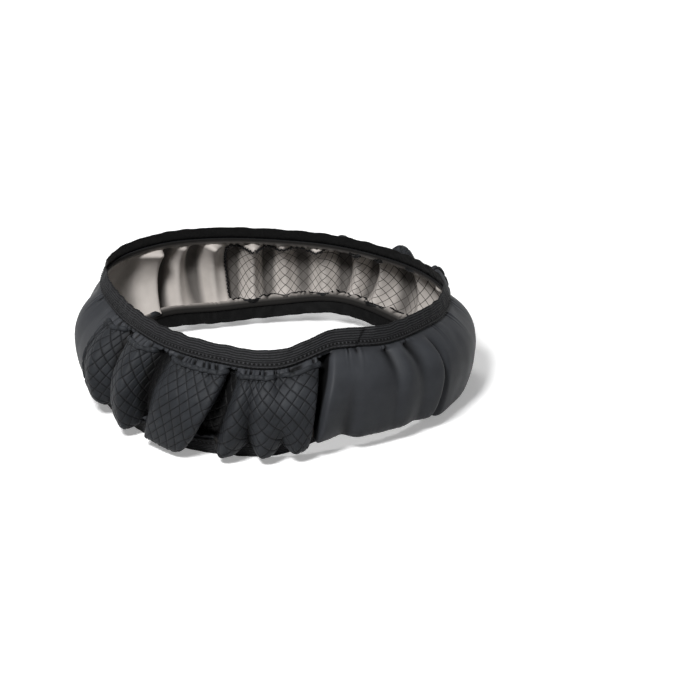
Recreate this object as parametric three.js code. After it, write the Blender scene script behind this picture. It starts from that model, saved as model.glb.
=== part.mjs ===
// Elastic steering wheel cover, lying relaxed on a table, in millimetres with +Z up.
//
// The cover is sewn from five pieces. A continuous band of leatherette forms a ring with a
// C-shaped section, open towards the middle, where the rim of the wheel goes. Two loops of
// elastic are sewn round its edges and gather it. Two grip pads of embossed leatherette lie on
// the band, one at the front and one at the back, each with a rolled hem on all four sides.
//
// Angles run round the ring in degrees as seen from above: 0 is the front (-Y), 90 the right
// (+X). A height on the band is given by t, 0 below the top elastic and 1 above the bottom one.

import * as THREE from "three";

// Sizes of the ring
const EDGE_RADIUS = 134; // mean radius of the free edges of both elastics
const BAND_HEIGHT = 85; // from free edge to free edge
const BULGE = 21; // how far the band stands out between its elastics
const SAG = 15; // how far the lower half of the bulge hangs down

// Sizes of the pieces
const ELASTIC_WIDTH = 14.5;
const ELASTIC_THICKNESS = 1.5;
const ELASTIC_FLARE = 20; // degrees that each elastic leans in towards its free edge
const BAND_THICKNESS = 1.2;
const PAD_THICKNESS = 1;
const HEM_THICKNESS = 2.4; // of the pad's rolled hem
const HEM_WIDTH = 3;
const LAYER_GAP = 0.3; // between two layers that are sewn together
const SEAM_LAP = 3.5; // how far the band reaches up behind each elastic
const LIP = 1.5; // straight length of the band beyond the elastic, before it turns out
const GATHERED_STRIP = 6; // height of the band left bare between an elastic and a pad

// Small gathers, between the large folds
const GATHER_PITCH = 5.6; // degrees, about
const GATHER_DEPTH = 1.3; // beside a pad
const PLAIN_GATHER_DEPTH = 0.6; // where the band has no pad on it

const BODY_ROWS = 4; // rows of facets down the middle of the band
const FOLD_FADE = 0.14; // share of the height over which a fold dies out at an elastic
const PUCKER = 0.6; // how much narrower the hollows are than the crests, from 0 to 1

// The join of each elastic loop, where its two ends overlap, in degrees.
const TOP_JOIN = [27, 33];
const BOTTOM_JOIN = [184, 190];

// The relaxed elastic isn't a true circle. Each line gives, every 20 degrees from the front,
// how far the free edge lies outside the mean radius and above its mean height.
const TOP_LINE = [
  [-1.5, 2], [-12.5, 10.5], [-9.5, 6.5], [-9.5, 4], [-4, 1], [1.5, 0.5],
  [0.5, 0.5], [0.5, 0.5], [2, 2], [3.5, 4], [7.5, 7.5], [12.5, 10.5],
  [16.5, 9.5], [4, 8], [-11, 4], [-12.5, 6], [-8, 5.5], [-4, 3.5],
];
const BOTTOM_LINE = [
  [0, 1.5], [-8, 11], [-6, 10], [-5, 7], [-2, 2], [2, 0],
  [5, 1.5], [9, 7], [13, 12], [9, 8], [7.5, 6.5], [14, 9],
  [13, 3], [9, 0], [4.5, 0], [0, 0], [2, 0], [2, 0],
];

// The large folds, length by length round the ring from the left end of the front pad. Each
// fold follows a line through three angles, at the top, the middle and the bottom, and has a
// depth in millimetres at the same places: positive stands out, negative falls in. Lean pushes
// its crest sideways and rise lifts it near the top, both in millimetres, and hang is its share
// of the sag near the bottom. The surface runs smoothly from each fold to the next. The first
// and last folds of a pad are its two ends.
const LENGTHS = [
  {
    pad: "grip_pad_front",
    folds: [
      { line: [-80, -76.5, -77], depth: [0, 0, -1], hang: 0.4 },
      { line: [-75, -68.5, -70.5], depth: [0, 2.5, 3], lean: 1, hang: 0.5 },
      { line: [-70, -63.5, -65], depth: [-9, -13, -9], lean: -1, hang: 0.3 },
      { line: [-60, -56, -60], depth: [-1, 0, 4] },
      { line: [-47, -47.5, -54], depth: [3, 4, 6], hang: 0.9 },
      { line: [-38, -43.5, -50], depth: [-8, -10, -9], hang: 0.3 },
      { line: [-30, -34.5, -45], depth: [2, 2.5, 5], hang: 0.9 },
      { line: [-20, -22, -34], depth: [3, 5.5, 6], lean: 3, hang: 1.2 },
      { line: [-14, -19.5, -29], depth: [-10, -14, -12], lean: -3, hang: 0.3 },
      { line: [-10.5, -13, -18.5], depth: [2, 4, 6], hang: 1.2 },
      { line: [-6.5, -8, -9], depth: [1, -2, -9], hang: 0.5 },
      { line: [-4, -3.5, -4.5], depth: [3, 4, 5], hang: 1.1 },
      { line: [0.3, 1, 1.3], depth: [-5, 2, -8], hang: 0.5 },
      { line: [6, 6.5, 5], depth: [3, 4, 6], hang: 1.15 },
      { line: [12.5, 10, 8], depth: [1, 3, 4], hang: 1.1 },
      { line: [15.5, 12.3, 9.8], depth: [-14, -15, -12], hang: 0.6 },
    ],
  },
  {
    folds: [
      { line: [18.5, 14.5, 12.3], depth: [3, 4, 3], hang: 1.2 },
      { line: [22.5, 20, 22], depth: [-1.5, -1, -5], hang: 1.3 },
      { line: [29, 28, 31], depth: [2.5, 2.5, 1], hang: 1.4 },
      { line: [41, 35, 35], depth: [-5, -0.5, 0.5], hang: 1.35 },
      { line: [45, 39.5, 39], depth: [1, 1.5, 1.5], hang: 1.3 },
      { line: [49, 46.5, 44], depth: [-4, 0, 1], hang: 1.2 },
      { line: [55, 55, 49], depth: [1, 3, 4], lean: 3, hang: 1.3 },
      { line: [60, 58.5, 52.5], depth: [0, -6, -7], lean: -2, hang: 1 },
      { line: [65, 61.5, 58], depth: [0, 1, 3], hang: 1.5 },
      { line: [80, 78, 76], depth: [0, 2, 3], hang: 1.2 },
      { line: [90, 89, 88], depth: [-2, 1, 0] },
      { line: [100, 100, 99], depth: [0, 1, 1] },
      { line: [111, 110, 111], depth: [-5, -5, -4], hang: 0.5 },
    ],
  },
  {
    pad: "grip_pad_back",
    folds: [
      { line: [117, 118, 118], depth: [0, 0, 0], rise: 4, hang: 0.5 },
      { line: [130, 131, 131], depth: [-5, -6, -2], rise: 4, hang: 0.4 },
      { line: [138, 138, 137], depth: [3, 4, 3], rise: 9, hang: 0.6 },
      { line: [143.5, 144.5, 145], depth: [-6, -9, -3], rise: 5, hang: 0.3 },
      { line: [147.5, 149.5, 152], depth: [1, 2, 2], rise: 5, hang: 0.5 },
      { line: [151.5, 153.5, 156], depth: [-8, -5, -1], rise: 3, hang: 0.3 },
      { line: [158.2, 158.9, 160], depth: [3, 4, 3], rise: 3, hang: 0.5 },
      { line: [166, 165, 164.5], depth: [-5, -7, -2], hang: 0.4 },
      { line: [172.8, 172.4, 171.8], depth: [4, 5, 4], hang: 0.5 },
      { line: [178, 177.5, 177], depth: [-3, -4, -1], hang: 0.4 },
      { line: [182.8, 182.6, 182.8], depth: [3, 4, 3], hang: 0.5 },
      { line: [187.8, 187.6, 188], depth: [-8, -9, -3], hang: 0.4 },
      { line: [193.4, 193.2, 192.8], depth: [3, 4, 3], hang: 0.6 },
      { line: [197.5, 196.5, 195.8], depth: [-1, -1, 0], hang: 0.5 },
    ],
  },
  {
    folds: [
      { line: [201.8, 200.3, 199.8], depth: [-10, -7, -2], hang: 0.5 },
      { line: [206.2, 204.8, 203.8], depth: [3, 4, 3], hang: 0.7 },
      { line: [211, 211.2, 212.5], depth: [-4, -5, -3], hang: 0.6 },
      { line: [216.3, 216, 217.5], depth: [1, 2, 1] },
      { line: [222, 220.5, 222], depth: [-9, -9, -7], hang: 0.5 },
      { line: [230, 229, 230], depth: [-1, -1, -1] },
      { line: [253, 252, 253], depth: [-4, -4, -6], hang: 0.6 },
      { line: [263, 263, 262], depth: [0, 0, 0], hang: 0.9 },
      { line: [271, 273, 272], depth: [-4, -2, -3], hang: 0.6 },
    ],
  },
];

const radians = THREE.MathUtils.degToRad;
const { lerp, smoothstep, euclideanModulo } = THREE.MathUtils;
const range = (from, to) => Array.from({ length: to - from + 1 }, (_, k) => from + k);

const flareSin = Math.sin(radians(ELASTIC_FLARE));
const flareCos = Math.cos(radians(ELASTIC_FLARE));
const SPAN = BAND_HEIGHT - 2 * ELASTIC_WIDTH * flareCos; // of the band between its elastics
const GIRTH_RADIUS = EDGE_RADIUS + ELASTIC_WIDTH * flareSin + BULGE;
const HEM_T = GATHERED_STRIP / SPAN;
const STITCH_T = (GATHERED_STRIP + HEM_WIDTH) / SPAN;

// A point in space from an angle, a radius and a height, moved sideways along the ring.
function place(angle, { radius, height }, aside = 0) {
  const a = radians(angle);
  return new THREE.Vector3(
    radius * Math.sin(a) + aside * Math.cos(a),
    -radius * Math.cos(a) + aside * Math.sin(a),
    height);
}

// A closed smooth line through the offsets of a free edge.
const lineOf = (offsets) =>
  new THREE.CatmullRomCurve3(
    offsets.map(([out, up]) => new THREE.Vector3(out, up, 0)), true, "catmullrom", 0.5);
const topLine = lineOf(TOP_LINE);
const bottomLine = lineOf(BOTTOM_LINE);
const turns = (angle) => euclideanModulo(angle, 360) / 360;

// Radius and height of the free edge of each elastic.
function topEdge(angle) {
  const offset = topLine.getPoint(turns(angle));
  return { radius: EDGE_RADIUS + offset.x, height: BAND_HEIGHT + offset.y };
}
function bottomEdge(angle) {
  const offset = bottomLine.getPoint(turns(angle));
  return { radius: EDGE_RADIUS + offset.x, height: Math.max(0, offset.y) };
}

// A point on an elastic: how far along from its free edge, and how far out from its middle.
const DOWN = -1;
const UP = 1;
function onElastic(edge, way, along, out = 0) {
  return {
    radius: edge.radius + along * flareSin + out / flareCos,
    height: edge.height + way * along * flareCos,
  };
}

// The value at t of a smooth curve through three values, at the top, middle and bottom.
const through = ([top, middle, bottom], t) =>
  top * (1 - t) * (1 - 2 * t) + middle * 4 * t * (1 - t) + bottom * t * (2 * t - 1);

const folds = LENGTHS.flatMap(({ folds: own, pad }) =>
  own.map((fold, n) => ({
    lean: 0, rise: 0, hang: 0.8, pad, isPadStart: Boolean(pad) && n === 0,
    isPadEnd: Boolean(pad) && n === own.length - 1, ...fold,
  })));
const nextFold = (k) => folds[(k + 1) % folds.length];
const degreesToNext = (k, t) =>
  euclideanModulo(through(nextFold(k).line, t) - through(folds[k].line, t), 360);

// Stations are the cross-sections round the ring. They follow the folds, with a whole number
// of small gathers between two folds, so each gather has a station on its crest and one in its
// hollow. A pad's hem has one more, along its inner edge.
function stationsFrom(k) {
  const gap = degreesToNext(k, 0.5);
  const gathers = Math.max(1, Math.round(gap / GATHER_PITCH));
  const shares = range(0, 2 * gathers - 1).map((n) => n / (2 * gathers));
  const hemShare = HEM_WIDTH / (GIRTH_RADIUS * radians(gap));
  if (folds[k].isPadStart) shares.push(hemShare);
  if (nextFold(k).isPadEnd) shares.push(1 - hemShare);
  return shares.sort((a, b) => a - b).map((share) => ({
    fold: k, share, gathers, isPadded: Boolean(folds[k].pad) && !folds[k].isPadEnd,
  }));
}
const stations = folds.flatMap((_, k) => stationsFrom(k));
const stationAt = (i) => stations[i % stations.length];
const stationOfFold = (k) => stations.findIndex(({ fold }) => fold === k);

const angleOf = ({ fold, share }, t) =>
  through(folds[fold].line, t) + share * degreesToNext(fold, t);

// A swell from 0 at both ends to 1 close below the top elastic.
const towardsTop = (t) => Math.sin(Math.PI * (1 - t) ** 4) * smoothstep(t, 0, 2 * HEM_T);

// The way from one fold to the next, with a round crest and a narrow hollow.
function easeBetween(depth, nextDepth, share) {
  const turn = share * Math.PI / 2;
  const rounded = nextDepth > depth ? Math.sin(turn) : 1 - Math.cos(turn);
  return lerp(smoothstep(share, 0, 1), rounded, PUCKER);
}

// How far the folds and small gathers move the surface at a station.
function gatheringAt({ fold, share, gathers, isPadded }, t) {
  const here = folds[fold];
  const next = nextFold(fold);
  const depth = through(here.depth, t);
  const nextDepth = through(next.depth, t);
  const ease = easeBetween(depth, nextDepth, share);
  const toEdge = Math.min(t, 1 - t);
  const hold = smoothstep(toEdge, 0, FOLD_FADE);
  const gatherDepth = isPadded ? GATHER_DEPTH : PLAIN_GATHER_DEPTH;
  const gather = toEdge < HEM_T ? gatherDepth * Math.sin(Math.PI * toEdge / HEM_T) : 0;
  return {
    out: hold * lerp(depth, nextDepth, ease)
      + gather * Math.cos(2 * Math.PI * gathers * share),
    aside: hold * lerp(here.lean, next.lean, ease),
    up: lerp(here.rise, next.rise, ease) * towardsTop(t)
      - SAG * lerp(here.hang, next.hang, ease) * towardsTop(1 - t),
  };
}

// Rows down the band: behind the top elastic, the lip, the gathered strip, the hem, the body,
// and the same again in reverse.
const ROWS = [
  { edge: topEdge, way: DOWN, along: ELASTIC_WIDTH - SEAM_LAP, t: 0 },
  { edge: topEdge, way: DOWN, along: ELASTIC_WIDTH + LIP, t: 0 },
  { t: HEM_T / 2 },
  { t: HEM_T },
  { t: STITCH_T },
  ...range(1, BODY_ROWS - 1).map((k) => ({ t: lerp(STITCH_T, 1 - STITCH_T, k / BODY_ROWS) })),
  { t: 1 - STITCH_T },
  { t: 1 - HEM_T },
  { t: 1 - HEM_T / 2 },
  { edge: bottomEdge, way: UP, along: ELASTIC_WIDTH + LIP, t: 1 },
  { edge: bottomEdge, way: UP, along: ELASTIC_WIDTH - SEAM_LAP, t: 1 },
];
const FIRST_PAD_ROW = 3;
const LAST_PAD_ROW = ROWS.length - 1 - FIRST_PAD_ROW;

// The middle of the band's thickness.
const BEHIND_ELASTIC = -(ELASTIC_THICKNESS / 2 + LAYER_GAP + BAND_THICKNESS / 2);
function bandPoint(station, { edge, way, along, t }) {
  const angle = angleOf(station, t);
  if (edge) return place(angle, onElastic(edge(angle), way, along, BEHIND_ELASTIC));
  const top = onElastic(topEdge(angle), DOWN, ELASTIC_WIDTH + LIP, BEHIND_ELASTIC);
  const bottom = onElastic(bottomEdge(angle), UP, ELASTIC_WIDTH + LIP, BEHIND_ELASTIC);
  const swell = BULGE * Math.sin(Math.PI * t) ** 0.75;
  const { out, aside, up } = gatheringAt(station, t);
  return place(angle, {
    radius: lerp(top.radius, bottom.radius, t) + swell + out,
    height: lerp(top.height, bottom.height, t) + up,
  }, aside);
}
const bandMiddle = stations.map((station) => ROWS.map((row) => bandPoint(station, row)));

// The direction of the band's thickness, level behind an elastic and square to it elsewhere.
const bandNormals = bandMiddle.map((column, i) =>
  column.map((_, j) => {
    const { edge, t } = ROWS[j];
    if (edge) return place(angleOf(stations[i], t), { radius: 1 / flareCos, height: 0 });
    const before = bandMiddle[(i + stations.length - 1) % stations.length][j];
    const after = bandMiddle[(i + 1) % stations.length][j];
    const down = column[j + 1].clone().sub(column[j - 1]);
    return down.cross(after.clone().sub(before)).normalize();
  }));

// Points at a distance outside the middle of the band, as columns of rows.
const layer = (columns, rows, distance) =>
  columns.map((i) => rows.map((j) => {
    const s = i % stations.length;
    return bandMiddle[s][j].clone().addScaledVector(bandNormals[s][j], distance(i, j));
  }));

// One closed body between an outer and an inner layer of points. A ring joins its last column
// to its first, and a sheet is closed at both ends.
function bodyBetween(outer, inner, isRing) {
  const columns = outer.length;
  const rows = outer[0].length;
  const positions = [...outer.flat(), ...inner.flat()].flatMap((p) => [p.x, p.y, p.z]);
  const front = (i, j) => (i % columns) * rows + j;
  const back = (i, j) => columns * rows + front(i, j);
  const index = [];
  const quad = (a, b, c, d) => index.push(a, b, c, a, c, d);
  const steps = isRing ? columns : columns - 1;
  for (let i = 0; i < steps; i++) {
    for (let j = 0; j < rows - 1; j++) {
      quad(front(i, j), front(i, j + 1), front(i + 1, j + 1), front(i + 1, j));
      quad(back(i, j), back(i + 1, j), back(i + 1, j + 1), back(i, j + 1));
    }
    const last = rows - 1;
    quad(front(i, 0), front(i + 1, 0), back(i + 1, 0), back(i, 0));
    quad(front(i + 1, last), front(i, last), back(i, last), back(i + 1, last));
  }
  if (!isRing) {
    for (let j = 0; j < rows - 1; j++) {
      quad(front(0, j + 1), front(0, j), back(0, j), back(0, j + 1));
      quad(front(steps, j), front(steps, j + 1), back(steps, j + 1), back(steps, j));
    }
  }
  const geometry = new THREE.BufferGeometry();
  geometry.setAttribute("position", new THREE.Float32BufferAttribute(positions, 3));
  geometry.setIndex(index);
  geometry.computeVertexNormals();
  return geometry;
}

const allStations = range(0, stations.length - 1);

function bandGeometry() {
  const rows = range(0, ROWS.length - 1);
  const half = BAND_THICKNESS / 2;
  return bodyBetween(
    layer(allStations, rows, () => half), layer(allStations, rows, () => -half), true);
}

// A pad lies on the band, thick at its rolled hem and thin inside the line of stitches.
function padGeometry(name) {
  const first = stationOfFold(folds.findIndex(({ pad, isPadStart }) => pad === name && isPadStart));
  const last = stationOfFold(folds.findIndex(({ pad, isPadEnd }) => pad === name && isPadEnd));
  const columns = range(first, last);
  const rows = range(FIRST_PAD_ROW, LAST_PAD_ROW);
  const inside = BAND_THICKNESS / 2 + LAYER_GAP;
  const isHem = (i, j) => i === first || i === last || j === FIRST_PAD_ROW || j === LAST_PAD_ROW;
  return bodyBetween(
    layer(columns, rows, (i, j) => inside + (isHem(i, j) ? HEM_THICKNESS : PAD_THICKNESS)),
    layer(columns, rows, () => inside),
    false);
}

// An elastic loop, twice as thick where its ends overlap.
function elasticGeometry(edge, way, [joinFrom, joinTo]) {
  const half = ELASTIC_THICKNESS / 2;
  const t = way === DOWN ? 0 : 1;
  const widths = way === DOWN ? [0, ELASTIC_WIDTH] : [ELASTIC_WIDTH, 0];
  const side = (distance) =>
    stations.map((station) => {
      const angle = angleOf(station, t);
      return widths.map((along) =>
        place(angle, onElastic(edge(angle), way, along, distance(angle))));
    });
  const isJoin = (angle) => angle >= joinFrom && angle <= joinTo;
  return bodyBetween(
    side((angle) => (isJoin(angle) ? half + ELASTIC_THICKNESS : half)), side(() => -half), true);
}

const leatherette = new THREE.MeshStandardMaterial({ color: 0x35373b, roughness: 0.55 });
const embossed = new THREE.MeshStandardMaterial({ color: 0x2e3135, roughness: 0.6 });
const webbing = new THREE.MeshStandardMaterial({ color: 0x1d1e20, roughness: 0.9 });

function piece(name, geometry, material) {
  const mesh = new THREE.Mesh(geometry, material);
  mesh.name = name;
  return mesh;
}

const cover = new THREE.Group();
cover.add(
  piece("band", bandGeometry(), leatherette),
  piece("grip_pad_front", padGeometry("grip_pad_front"), embossed),
  piece("grip_pad_back", padGeometry("grip_pad_back"), embossed),
  piece("elastic_top", elasticGeometry(topEdge, DOWN, TOP_JOIN), webbing),
  piece("elastic_bottom", elasticGeometry(bottomEdge, UP, BOTTOM_JOIN), webbing),
);

// The origin is under the middle of the whole cover, on the table.
const bounds = new THREE.Box3().setFromObject(cover);
const middle = bounds.getCenter(new THREE.Vector3());
cover.position.set(-middle.x, -middle.y, -bounds.min.z);

export default cover;
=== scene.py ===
# Looks of an elastic steering wheel cover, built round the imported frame, in metres with +Z up.
#
# The shapes are worked out in millimetres about the ring's own centre, with folds like the
# solids', but finer and in places deeper: angles run round the ring in degrees from the front
# (-Y) through the right (+X), and t runs down the band from 0 below the top elastic to 1 above
# the bottom one.

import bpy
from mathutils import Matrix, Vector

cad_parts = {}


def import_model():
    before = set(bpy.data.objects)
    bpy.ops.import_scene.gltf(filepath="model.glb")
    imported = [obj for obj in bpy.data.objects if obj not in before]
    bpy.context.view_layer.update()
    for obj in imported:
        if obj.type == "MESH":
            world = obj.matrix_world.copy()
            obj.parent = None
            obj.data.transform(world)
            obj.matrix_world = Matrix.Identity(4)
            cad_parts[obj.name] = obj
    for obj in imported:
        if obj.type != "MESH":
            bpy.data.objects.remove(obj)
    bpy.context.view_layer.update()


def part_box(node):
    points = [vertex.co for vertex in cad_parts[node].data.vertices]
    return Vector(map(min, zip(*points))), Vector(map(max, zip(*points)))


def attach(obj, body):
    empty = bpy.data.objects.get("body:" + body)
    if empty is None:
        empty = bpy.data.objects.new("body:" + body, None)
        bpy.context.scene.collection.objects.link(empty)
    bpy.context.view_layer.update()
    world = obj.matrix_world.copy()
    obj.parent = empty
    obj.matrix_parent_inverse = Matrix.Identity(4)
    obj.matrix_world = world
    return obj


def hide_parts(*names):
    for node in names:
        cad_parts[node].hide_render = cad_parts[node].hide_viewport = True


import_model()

import math

import bpy
import numpy as np
from mathutils import Vector

MM = 0.001
BODY = "root"

# The sizes of the ring, the same as the solids'.
EDGE_RADIUS = 134
BAND_HEIGHT = 85
BULGE = 21
SAG = 15
ELASTIC_WIDTH = 14.5
ELASTIC_THICKNESS = 1.5
ELASTIC_FLARE = math.radians(20)
BAND_THICKNESS = 1.2
SEAM_LAP = 3.5
LIP = 1.5
PUCKER = 0.6  # how much narrower the valleys are than the ridges
TOP_JOIN = 30
BOTTOM_JOIN = 187

# The folds and the pads reach nearer to the elastics than the solids' do, in closer layers and
# with fuller hems.
FOLD_FADE = 0.09
GATHERED_STRIP = 2.8
PAD_THICKNESS = 0.9
LAYER_GAP = 0.15
HEM_WIDTH = 4.6
HEM_HEIGHT = 3.1

TOP_LINE = [
    (-1.5, 2), (-12.5, 10.5), (-9.5, 6.5), (-9.5, 4), (-4, 1), (1.5, 0.5),
    (0.5, 0.5), (0.5, 0.5), (2, 2), (3.5, 4), (7.5, 7.5), (12.5, 10.5),
    (16.5, 9.5), (4, 8), (-11, 4), (-12.5, 6), (-8, 5.5), (-4, 3.5),
]
BOTTOM_LINE = [
    (0, 1.5), (-8, 11), (-6, 10), (-5, 7), (-2, 2), (2, 0),
    (5, 1.5), (9, 7), (13, 12), (9, 8), (7.5, 6.5), (14, 9),
    (13, 3), (9, 0), (4.5, 0), (0, 0), (2, 0), (2, 0),
]

# Each fold: its angles at the top, middle and bottom, its depths there, then lean, rise, hang.
FRONT_PAD = [
    ((-80, -76.5, -77), (0, 0, -1), 0, 0, 0.4),
    ((-74, -69, -70), (1, 4, 4), 2, 0, 0.5),
    ((-67, -63.5, -65), (-15, -20, -15), -2, 0, 0.3),
    ((-61.5, -58, -59.5), (-17, -23, -17), -1, 0, 0.3),
    ((-57, -53.5, -55.5), (0, 3, 4), -2, 0, 0.8),
    ((-50, -49.5, -52), (4, 6, 6), 1, 0, 0.9),
    ((-43, -45, -48), (-15, -19, -15), -1, 0, 0.3),
    ((-37, -40.5, -46), (-9, -11, -10), 0, 0, 0.5),
    ((-30, -34.5, -43.5), (2, 2.5, 5), 0, 0, 0.9),
    ((-20, -22, -36.5), (4, 6.5, 6), 4, 0, 1.1),
    ((-14.5, -19.8, -30), (-16, -23, -19), -3, 0, 0.2),
    ((-11.5, -14.8, -22), (-6, -12, -17), 0, 0, 0.4),
    ((-9.5, -12, -18), (3, 5, 6), 0, 0, 1.05),
    ((-6, -8, -9), (1, -3, -13), 0, 0, 0.4),
    ((-4, -3.5, -4.5), (3, 4, 5), 0, 0, 1.0),
    ((0.3, 1, 1.3), (-6, 2, -10), 0, 0, 0.5),
    ((6, 6.5, 5), (3, 4, 6), 0, 0, 1.05),
    ((11.6, 9.2, 7), (1, 3, 4), 1, 0, 1.0),
    ((15.4, 11.8, 9.2), (-18, -21, -17), 0, 0, 0.5),
]
RIGHT_LENGTH = [
    ((18.4, 13.4, 10.4), (-16, -17, -14), 0, 0, 0.6),
    ((20.6, 15.4, 12.6), (3, 5, 4), -3, 0, 1.05),
    ((26, 22.5, 20.5), (0, 0.5, -9), 0, 0, 1.3),
    ((31, 27, 25.5), (1.5, 2, 2), 0, 0, 1.4),
    ((40, 38, 36), (-9, -1.5, 0.5), 0, 0, 1.35),
    ((44, 42.5, 41), (1, 1.5, 1.5), 0, 0, 1.3),
    ((48.5, 48.5, 46), (-9, -1.2, 0.5), 0, 0, 1.2),
    ((55, 55, 49), (1, 4, 5), 4, 0, 1.25),
    ((60, 58.5, 52.5), (0, -9, -10), -2, 0, 0.9),
    ((65, 61.5, 58), (0, 1, 3), 0, 0, 1.5),
    ((80, 78, 76), (0, 2, 3), 0, 0, 1.2),
    ((90, 89, 88), (-3, 1, 0), 0, 0, 0.8),
    ((100, 100, 99), (0, 1, 1), 0, 0, 0.8),
    ((111, 110, 111), (-7, -7, -5), 0, 0, 0.5),
]
BACK_PAD = [
    ((117, 118, 118), (0, 0, 0), 0, 13, 0.5),
    ((127, 129, 129), (-9, -10, -4), 0, 8, 0.4),
    ((132, 134, 134), (1, 2, 2), 0, 15, 0.5),
    ((136.5, 138.5, 138), (4, 5, 4), 0, 17, 0.6),
    ((140.5, 144.5, 148.5), (-11, -14, -8), 0, 5, 0.3),
    ((146.5, 149.5, 153), (1, 3, 3), 0, 8, 0.5),
    ((151, 153.5, 156.5), (-13, -11, -2), 0, 3, 0.3),
    ((158.2, 158.9, 160), (4, 5, 4), 0, 13, 0.5),
    ((166, 165, 164.5), (-9, -12, -5), 0, 0, 0.4),
    ((172.8, 172.4, 171.8), (4, 5, 4), 0, 0, 0.5),
    ((178, 177.5, 177), (-6, -8, -3), 0, 0, 0.4),
    ((182.8, 182.6, 182.8), (4, 5, 4), 0, 0, 0.5),
    ((187.8, 187.6, 188), (-15, -17, -9), 0, 0, 0.4),
    ((193.4, 193.2, 192.8), (4, 5, 4), 0, 0, 0.6),
    ((197.5, 196.5, 195.8), (-3, -3, 0), 0, 0, 0.5),
]
LEFT_LENGTH = [
    ((201.8, 200.3, 199.8), (-17, -12, -4), 0, 0, 0.5),
    ((206.2, 204.8, 203.8), (4, 5, 4), 0, 0, 0.7),
    ((211, 211.2, 212.5), (-8, -9, -7), 0, 0, 0.6),
    ((216.3, 216, 217.5), (3, 4, 2), 0, 0, 0.8),
    ((221, 219.5, 221.5), (-15, -16, -12), 0, 0, 0.5),
    ((230, 229, 230), (-3, -3, -3), 0, 0, 0.8),
    ((253, 252, 253), (-6, -6, -8), 0, 0, 0.6),
    ((263, 263, 262), (0, 0, 0), 0, 0, 0.9),
    ((271, 273, 272), (-3, -1, -1), 0, 0, 0.6),
]
FOLDS = FRONT_PAD + RIGHT_LENGTH + BACK_PAD + LEFT_LENGTH
FRONT_ENDS = (0, len(FRONT_PAD) - 1)
BACK_START = len(FRONT_PAD) + len(RIGHT_LENGTH)
BACK_ENDS = (BACK_START, BACK_START + len(BACK_PAD) - 1)

FLARE_SIN = math.sin(ELASTIC_FLARE)
FLARE_COS = math.cos(ELASTIC_FLARE)
SPAN = BAND_HEIGHT - 2 * ELASTIC_WIDTH * FLARE_COS
HEM_T = GATHERED_STRIP / SPAN
SEAM_GAP = 0.3
BEHIND_ELASTIC = -(ELASTIC_THICKNESS / 2 + SEAM_GAP + BAND_THICKNESS / 2)
DOWN, UP = -1, 1


# Curves and folds

def smoothstep(x, low, high):
    s = np.clip((x - low) / (high - low), 0, 1)
    return s * s * (3 - 2 * s)


def closed_line(offsets, angle):
    """A closed Catmull-Rom line through evenly spaced offsets, at angles in degrees."""
    points = np.array(offsets, float)
    count = len(points)
    along = np.mod(angle, 360) / 360 * count
    k = np.floor(along).astype(int)
    f = (along - k)[..., None]
    p0, p1, p2, p3 = (points[(k + n) % count] for n in (-1, 0, 1, 2))
    v1, v2 = (p2 - p0) / 2, (p3 - p1) / 2
    return (((2 * p1 - 2 * p2 + v1 + v2) * f + (-3 * p1 + 3 * p2 - 2 * v1 - v2)) * f + v1) * f + p1


def top_edge(angle):
    offset = closed_line(TOP_LINE, angle)
    return EDGE_RADIUS + offset[..., 0], BAND_HEIGHT + offset[..., 1]


def bottom_edge(angle):
    offset = closed_line(BOTTOM_LINE, angle)
    return EDGE_RADIUS + offset[..., 0], np.maximum(0, offset[..., 1])


def on_elastic(edge, way, along, out=0.0):
    radius, height = edge
    return radius + along * FLARE_SIN + out / FLARE_COS, height + way * along * FLARE_COS


def place(angle, radius, height, aside=0.0):
    a = np.radians(angle)
    x = radius * np.sin(a) + aside * np.cos(a)
    y = -radius * np.cos(a) + aside * np.sin(a)
    return np.stack(np.broadcast_arrays(x, y, height), axis=-1)


def through(values, t):
    """Smooth curves through three values at the top, middle and bottom."""
    top, middle, bottom = (values[..., n] for n in range(3))
    return top * (1 - t) * (1 - 2 * t) + middle * 4 * t * (1 - t) + bottom * t * (2 * t - 1)


LINES = np.array([fold[0] for fold in FOLDS], float)
DEPTHS = np.array([fold[1] for fold in FOLDS], float)
LEANS, RISES, HANGS = (np.array([fold[n] for fold in FOLDS], float) for n in (2, 3, 4))


def fold_pair(u):
    """The folds before and after u, counted in folds round the ring, and the share between them."""
    k = np.floor(u).astype(int)
    return k % len(FOLDS), (k + 1) % len(FOLDS), u - k


def angle_at(u, t):
    here, after, share = fold_pair(u)
    start = through(LINES[here], t)
    return start + share * np.mod(through(LINES[after], t) - start, 360)


def towards_top(t):
    return np.sin(math.pi * (1 - t) ** 4) * smoothstep(t, 0, 2 * HEM_T)


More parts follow.
